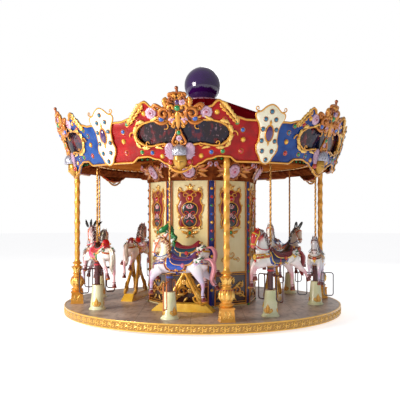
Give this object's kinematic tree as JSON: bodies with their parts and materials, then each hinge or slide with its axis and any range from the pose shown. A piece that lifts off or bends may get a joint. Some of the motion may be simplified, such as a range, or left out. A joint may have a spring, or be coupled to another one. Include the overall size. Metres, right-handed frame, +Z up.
{
  "type": "fairground carousel",
  "caption": "Round fairground carousel with a turning deck, jumping horses on twisted poles, an eight-sided centre house and a flared ornamental crown under a conical roof with a ball.",
  "frame": {"origin": "on the floor at the axis of rotation, at the centre of the footprint", "axes": "+Z up along the axis of rotation, -Y towards the front panel, +X to the right seen from the front"},
  "size_m": [5.7434, 5.9582, 4.949],
  "materials": {
    "steel": "dark painted steel",
    "deck_boards": "worn grey-brown boards",
    "gold_cast": "gold paint on moulded relief",
    "cream_panel": "cream gloss paint on moulded panels",
    "canopy_frame": "brown painted sheet",
    "roof_sheet": "maroon gloss",
    "purple_ball": "deep purple high gloss",
    "red_panel": "red gloss paint on moulded panels",
    "blue_panel": "blue gloss paint on moulded panels",
    "horse_shell": "painted and lacquered moulded shell",
    "brass_pole": "twisted polished brass",
    "yellow_stand": "yellow and gold gloss paint"
  },
  "bodies": {
    "base": {"base_frame": "steel"},
    "turntable": {"deck": "deck_boards", "skirt": "gold_cast", "center_house": "cream_panel", "center_cornice": "gold_cast", "soffit": "canopy_frame", "roof": "roof_sheet", "ball": "purple_ball", "crown_panel_1": "red_panel", "crown_shield_1": "cream_panel", "crown_panel_2": "blue_panel", "crown_shield_2": "cream_panel", "crown_panel_3": "red_panel", "crown_shield_3": "cream_panel", "crown_panel_4": "blue_panel", "crown_shield_4": "cream_panel", "crown_panel_5": "red_panel", "crown_shield_5": "cream_panel", "crown_panel_6": "blue_panel", "crown_shield_6": "cream_panel", "column_1": "gold_cast", "column_2": "gold_cast", "column_3": "gold_cast", "column_4": "gold_cast", "cone_1": "cream_panel", "cone_2": "cream_panel", "cone_3": "cream_panel", "cone_4": "cream_panel", "cone_5": "cream_panel", "cone_6": "cream_panel", "cone_7": "cream_panel", "cone_8": "cream_panel", "inner_horse_1": "horse_shell", "stand_1": "yellow_stand", "inner_horse_2": "horse_shell", "stand_2": "yellow_stand", "inner_horse_3": "horse_shell", "stand_3": "yellow_stand", "inner_horse_4": "horse_shell", "stand_4": "yellow_stand"},
    "jumper_1": {"horse_1": "horse_shell", "pole_1": "brass_pole"},
    "jumper_2": {"horse_2": "horse_shell", "pole_2": "brass_pole"},
    "jumper_3": {"horse_3": "horse_shell", "pole_3": "brass_pole"},
    "jumper_4": {"horse_4": "horse_shell", "pole_4": "brass_pole"},
    "jumper_5": {"horse_5": "horse_shell", "pole_5": "brass_pole"},
    "jumper_6": {"horse_6": "horse_shell", "pole_6": "brass_pole"},
    "jumper_7": {"horse_7": "horse_shell", "pole_7": "brass_pole"},
    "jumper_8": {"horse_8": "horse_shell", "pole_8": "brass_pole"}
  },
  "joints": [
    {"name": "turntable_spin", "type": "hinge", "parent": "base", "child": "turntable", "pos_m": [0, 0, 0.12], "axis": [0, 0, 1], "continuous": true},
    {"name": "jumper_1_rise", "type": "slide", "parent": "turntable", "child": "jumper_1", "axis": [0, 0, 1], "range_m": [-0.05, 0.15]},
    {"name": "jumper_2_rise", "type": "slide", "parent": "turntable", "child": "jumper_2", "axis": [0, 0, 1], "range_m": [-0.14, 0.06]},
    {"name": "jumper_3_rise", "type": "slide", "parent": "turntable", "child": "jumper_3", "axis": [0, 0, 1], "range_m": [-0.05, 0.15]},
    {"name": "jumper_4_rise", "type": "slide", "parent": "turntable", "child": "jumper_4", "axis": [0, 0, 1], "range_m": [-0.11, 0.09]},
    {"name": "jumper_5_rise", "type": "slide", "parent": "turntable", "child": "jumper_5", "axis": [0, 0, 1], "range_m": [-0.1, 0.1]},
    {"name": "jumper_6_rise", "type": "slide", "parent": "turntable", "child": "jumper_6", "axis": [0, 0, 1], "range_m": [-0.15, 0.05]},
    {"name": "jumper_7_rise", "type": "slide", "parent": "turntable", "child": "jumper_7", "axis": [0, 0, 1], "range_m": [-0.07, 0.13]},
    {"name": "jumper_8_rise", "type": "slide", "parent": "turntable", "child": "jumper_8", "axis": [0, 0, 1], "range_m": [-0.18, 0.02]}
  ]
}
